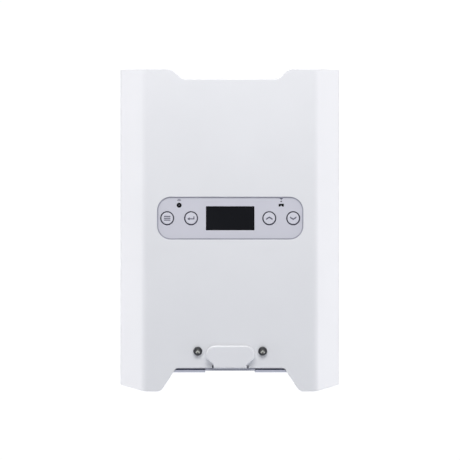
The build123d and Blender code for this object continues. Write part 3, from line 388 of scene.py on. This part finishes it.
def make_finishes():
    """The material of each of the record's slots."""
    made = {
        "cover_paint": powder_coat((0.797, 0.803, 0.833)),
        "tray_paint": powder_coat(tone(186, 189, 204)),
        "seal_rubber": rubber(tone(44, 44, 66), 0.6, dust=0.3),
        "bumper_rubber": rubber(tone(38, 38, 40)),
        "zinc_steel": metal(tone(205, 208, 214), 0.3, grain=1400),
        "rail_zinc": galvanised(tone(190, 194, 200)),
        # near-black on the hinge pin's heads: blackened steel, and also painted shade for the shadowed
        # gaps beside the flap's tongue
        "dark_screw": metal(tone(34, 35, 44), 0.45, grain=2400),
        "rivet_aluminium": metal(tone(214, 215, 218), 0.34, grain=2000),
        "panel_gasket": rubber(tone(158, 158, 172), 0.55, dust=0.2),
        "panel_grey": moulding(tone(207, 207, 217), 0.42, grain=1800, depth=5e-6),
        "button_ring": rubber(tone(54, 54, 68), 0.5, dust=0.3),
        "button_cap": moulding(tone(213, 213, 223), 0.38, grain=3000, depth=2e-6),
        "display_glass": smoked_window(),
        "lcd_frame": metal(tone(120, 122, 128), 0.4, along=(1, 1, 0.1)),
        "circuit_board": board_green(),
        "lamp_black": moulding(tone(10, 10, 13), 0.35, grain=3000, specular=0.3),
        "light_pipe": milky_pipe(),
        "white_plastic": moulding(tone(232, 232, 230), 0.4),
        "flap_plastic": moulding((0.797, 0.803, 0.838), 0.38, grain=2200, depth=3e-6, mottle=0.008),
        "hinge_steel": powder_coat(tone(162, 164, 177), 0.45),
        "black_plastic": moulding(tone(30, 30, 33), 0.42),
        "gilt_contact": metal(tone(226, 184, 92), 0.22, grain=3000),
        "cell_can": film_blue(),
        "insulator": moulding(tone(188, 160, 96), 0.6, grain=900, depth=1.5e-5, mottle=0.06),
        "plate_aluminium": metal(tone(200, 202, 206), 0.34, along=(0.08, 1, 1), grain=1600),
        "copper": metal(tone(205, 122, 84), 0.28, along=(0.15, 1, 1), grain=1600, tarnish=0.25),
        "clear_shield": clear_sheet(),
        "brass": metal(tone(212, 178, 98), 0.26, grain=1800, tarnish=0.2),
        "heat_sink_black": metal(tone(38, 38, 42), 0.45, along=(1, 1, 0.1), grain=1200),
        "terminal_grey": moulding(tone(122, 126, 130), 0.5, grain=1500),
        "fuse_ceramic": moulding(tone(226, 220, 206), 0.25, grain=700, mottle=0.03),
        "cable_jacket": rubber(tone(178, 44, 32), 0.5, dust=0.25),
        "ribbon_grey": moulding(tone(150, 152, 158), 0.45, grain=1200),
        "gland_nylon": moulding(tone(34, 34, 37), 0.48, grain=1400, depth=6e-6),
    }
    return {slot: named(slot, material) for slot, material in made.items()}


def dress(piece, material):
    piece.data.materials.clear()
    piece.data.materials.append(material)


def dress_nodes():
    """Gives each CAD node its slot's material, and the cover screws a worn one with a painted highlight.
    """
    finishes = make_finishes()
    for part in frame["record"]["subparts"]:
        dress(frame["nodes"][part["node"]], finishes[part["material_slot"]])
    worn_and_lit = worn_screw_with_painted_highlight(tone(52, 53, 58), tone(255, 255, 250))
    dress(frame["nodes"]["cover_screws"], named("worn_screw_with_painted_highlight", worn_and_lit))


# ---- printed marks -----------------------------------------------------------------------------


def bar(x, z, width, height):
    """Corners of an upright rectangle centred on x and z."""
    return [
        (x - width / 2, z - height / 2),
        (x + width / 2, z - height / 2),
        (x + width / 2, z + height / 2),
        (x - width / 2, z + height / 2),
    ]


def chevron(width, height, stroke):
    """A bent stroke whose point is up, or down if height is negative."""
    half = width / 2
    rise = height / 2
    lift = math.copysign(stroke, height)
    return [
        (-half, -rise),
        (0, rise - lift),
        (half, -rise),
        (half, lift - rise),
        (0, rise),
        (-half, lift - rise),
    ]


def arc(radius):
    """Points above a centre, from ARCH_START to ARCH_END."""
    step = (ARCH_END - ARCH_START) / ARCH_STEPS
    angles = [math.radians(ARCH_START + step * i) for i in range(ARCH_STEPS + 1)]
    return [(radius * math.cos(angle), radius * math.sin(angle)) for angle in angles]


def arch(radius, stroke):
    """A band bent over a centre."""
    return arc(radius) + arc(radius - stroke)[::-1]


def printed(name, outlines, face_y, ink, body):
    """A print of closed outlines, in metres, that stands proud of a front face."""
    mesh = bpy.data.meshes.new(name)
    shape = bmesh.new()
    for outline in outlines:
        back = [shape.verts.new((x, face_y + PROUD / 2, z)) for x, z in outline]
        front = [shape.verts.new((x, face_y - PROUD, z)) for x, z in outline]
        shape.faces.new(back)
        shape.faces.new(front[::-1])
        for i in range(len(outline)):
            j = (i + 1) % len(outline)
            shape.faces.new((back[j], back[i], front[i], front[j]))
    bmesh.ops.recalc_face_normals(shape, faces=shape.faces)
    bmesh.ops.triangulate(shape, faces=[face for face in shape.faces if len(face.verts) > 4])
    shape.to_mesh(mesh)
    shape.free()
    piece = bpy.data.objects.new(name, mesh)
    bpy.context.scene.collection.objects.link(piece)
    dress(piece, ink)
    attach(piece, body)


def moved(outline, x, z):
    """An outline in millimetres, brought to a place in metres."""
    return [(x + px * MM, z + pz * MM) for px, pz in outline]


def middle(node):
    low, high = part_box(node)
    return (low + high) / 2


def button_symbols():
    """List, return, up and down symbols, in millimetres."""
    arrow_head = [(-4.4, -0.7), (-1.7, -2.4), (-1.7, 1.0)]
    return {
        "menu_button": [bar(0, z, 7.4, 1.0) for z in (2.1, 0, -2.1)],
        "enter_button": [arrow_head, bar(0.95, -0.7, 5.5, 1.1), bar(3.15, 0.95, 1.1, 2.3)],
        "up_button": [chevron(7.2, 3.9, 1.6)],
        "down_button": [chevron(7.2, -3.9, 1.6)],
    }


def print_button_symbols(ink):
    for node, outlines in button_symbols().items():
        centre = middle(node)
        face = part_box(node)[0].y
        placed = [moved(outline, centre.x, centre.z) for outline in outlines]
        printed(node + "_symbol", placed, face, ink, node)


def print_lamp_marks(ink):
    """Two nested arches above the left lamp, and a pointer above the right lamp's dot."""
    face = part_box("control_panel")[0].y
    low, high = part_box("lamp_bezels")
    left_x = low.x + (high.z - low.z) / 2  # the left bezel is the round one
    right_x = 2 * middle("control_panel").x - left_x
    arches_z = high.z + ARCH_LIFT * MM
    arches = [moved(arch(radius, ARCH_STROKE), left_x, arches_z) for radius in ARCH_RADII]
    printed("left_lamp_mark", arches, face, ink, "root")
    half = POINTER_WIDTH / 2
    pointer = [(0, 0), (half, POINTER_HEIGHT), (-half, POINTER_HEIGHT)]
    tip_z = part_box("light_pipes")[1].z + POINTER_LIFT * MM
    printed("right_lamp_mark", [moved(pointer, right_x, tip_z)], face, ink, "root")


# ---- the scene ---------------------------------------------------------------------------------


def make_camera():
    data = bpy.data.cameras.new("camera")
    data.sensor_width = SENSOR
    data.lens = SENSOR * VIEW_DISTANCE / PICTURE_WIDTH
    data.clip_start, data.clip_end = CLIP
    camera = bpy.data.objects.new("camera", data)
    cover_low, cover_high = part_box("front_cover")
    aim = Vector((AIM_SIDE, cover_low.y, (cover_low.z + cover_high.z) / 2 + AIM_LIFT))
    away = Vector((-math.sin(VIEW_TURN), -math.cos(VIEW_TURN), 0))
    camera.location = aim + away * VIEW_DISTANCE
    camera.rotation_euler = (math.pi / 2, 0, -VIEW_TURN)
    bpy.context.scene.collection.objects.link(camera)
    bpy.context.scene.camera = camera


def make_floor():
    """Pale disc under the object, which fades to the white of the backdrop at its rim."""
    mesh = bpy.data.meshes.new("floor")
    shape = bmesh.new()
    bmesh.ops.create_circle(shape, cap_ends=True, segments=96, radius=FLOOR_RADIUS)
    shape.to_mesh(mesh)
    shape.free()
    floor = bpy.data.objects.new("floor", mesh)
    floor.location = (0, 0, cad_low.z - FLOOR_DROP)
    bpy.context.scene.collection.objects.link(floor)
    dress(floor, named("floor_matt", floor_paint()))


def floor_paint():
    """Matt white. It glows for the camera alone, so that the glow adds no light to the object."""
    matt = Finish(specular=0.2)
    matt.put("Roughness", 0.9)
    matt.colour(matt.blend(matt.spread(matt.noise(3), 0, 1), (0.84, 0.85, 0.88), (0.86, 0.87, 0.9)))
    distance = matt.node("ShaderNodeVectorMath", operation="LENGTH")
    matt.link(matt.place, distance.inputs[0])
    fade = matt.spread(distance.outputs["Value"], *FLOOR_GLOW, 0.5 * FLOOR_RADIUS, FLOOR_RADIUS)
    seen = matt.node("ShaderNodeLightPath").outputs["Is Camera Ray"]
    matt.put("Emission Color", SKY_WHITE)
    matt.put("Emission Strength", matt.calculate("MULTIPLY", fade, seen))
    return matt.material


def softbox(name, place, target, size, power, colour):
    """A rectangular light at a place, turned to a target."""
    data = bpy.data.lights.new(name, "AREA")
    data.shape = "RECTANGLE"
    data.size, data.size_y = size
    data.energy = power
    data.color = colour
    lamp = bpy.data.objects.new(name, data)
    lamp.location = place
    lamp.rotation_euler = (target - Vector(place)).to_track_quat("-Z", "Y").to_euler()
    bpy.context.scene.collection.objects.link(lamp)


def make_lights():
    """A key close above the front, a weak fill below it, and a low panel of light beside each side."""
    target = Vector((0, AIM_Y, (cad_low.z + cad_high.z) / 2))
    softbox("key", KEY_PLACE, target + Vector((0, 0, KEY_RISE)), STRIP_SIZE, KEY_POWER, KEY_COLOUR)
    softbox("fill", FILL_PLACE, target, STRIP_SIZE, FILL_POWER, FILL_COLOUR)
    x, y, z = PANEL_PLACE
    for name, side in (("left_panel", -1), ("right_panel", 1)):
        softbox(name, (side * x, y, z), target, PANEL_SIZE, PANEL_POWER, PANEL_COLOUR)


def make_world():
    """White behind the object, and light on it that comes more from behind than from the front."""
    world = bpy.data.worlds.new("studio")
    world.use_nodes = True
    tree = world.node_tree
    background = tree.nodes["Background"]
    direction = tree.nodes.new("ShaderNodeTexCoord").outputs["Generated"]
    parts = tree.nodes.new("ShaderNodeSeparateXYZ")
    tree.links.new(direction, parts.inputs["Vector"])
    around = map_range(tree, parts.outputs["Y"], FRONT_GLOW, BACK_GLOW, *SKY_TURN)
    seen = tree.nodes.new("ShaderNodeLightPath").outputs["Is Camera Ray"]
    feed(tree, background.inputs["Color"], SKY_WHITE)
    feed(tree, background.inputs["Strength"], map_range(tree, seen, around, BACKDROP))
    bpy.context.scene.world = world


dress_nodes()

symbol_ink = named("symbol_ink", moulding(tone(84, 84, 102), 0.5))
print_button_symbols(symbol_ink)
print_lamp_marks(symbol_ink)

make_camera()
make_floor()
make_lights()
make_world()
bpy.context.scene.view_settings.view_transform = "Standard"
